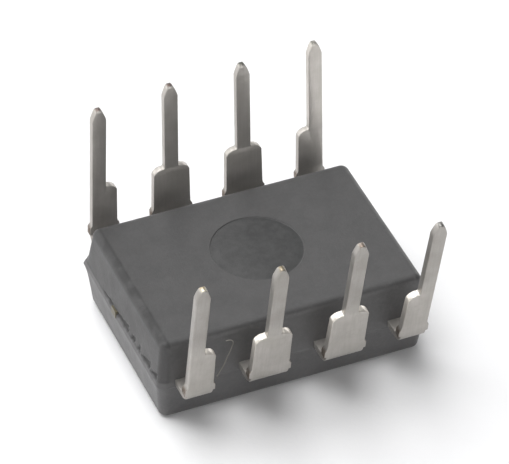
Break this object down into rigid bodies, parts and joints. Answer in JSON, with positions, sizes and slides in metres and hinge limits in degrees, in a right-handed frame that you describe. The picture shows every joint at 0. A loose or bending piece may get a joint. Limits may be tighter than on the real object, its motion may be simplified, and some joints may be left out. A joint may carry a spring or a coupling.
{
  "type": "dip integrated circuit chip",
  "caption": "Dual in-line integrated circuit lying on its marking face: moulded epoxy body, rows of formed, splayed tinned leads, with die, paddle and bond wires inside.",
  "frame": {"origin": "centre of the flat marking face, which the part lies on", "axes": "+Z out of the underside, the way the lead tips point; +X along the body towards its index notch end; +Y across the body towards the row of leads 5 to 8"},
  "size_m": [0.0092, 0.0097, 0.0071],
  "materials": {
    "mold_epoxy": "fine matt moulded texture, slightly scuffed",
    "tinned_lead": "matt tin over copper alloy, bare brown copper at sheared ends",
    "bare_copper": "bare copper alloy, silver spot in the middle",
    "silver_epoxy": "cured silver-filled adhesive",
    "silicon": "polished silicon",
    "gold_wire": "drawn gold"
  },
  "bodies": {
    "root": {"molded_body": "mold_epoxy", "lead_1": "tinned_lead", "lead_2": "tinned_lead", "lead_3": "tinned_lead", "lead_4": "tinned_lead", "lead_5": "tinned_lead", "lead_6": "tinned_lead", "lead_7": "tinned_lead", "lead_8": "tinned_lead", "die_paddle": "bare_copper", "die_attach": "silver_epoxy", "silicon_die": "silicon", "bond_wire_1": "gold_wire", "bond_wire_2": "gold_wire", "bond_wire_3": "gold_wire", "bond_wire_4": "gold_wire", "bond_wire_5": "gold_wire", "bond_wire_6": "gold_wire", "bond_wire_7": "gold_wire", "bond_wire_8": "gold_wire"}
  },
  "joints": []
}
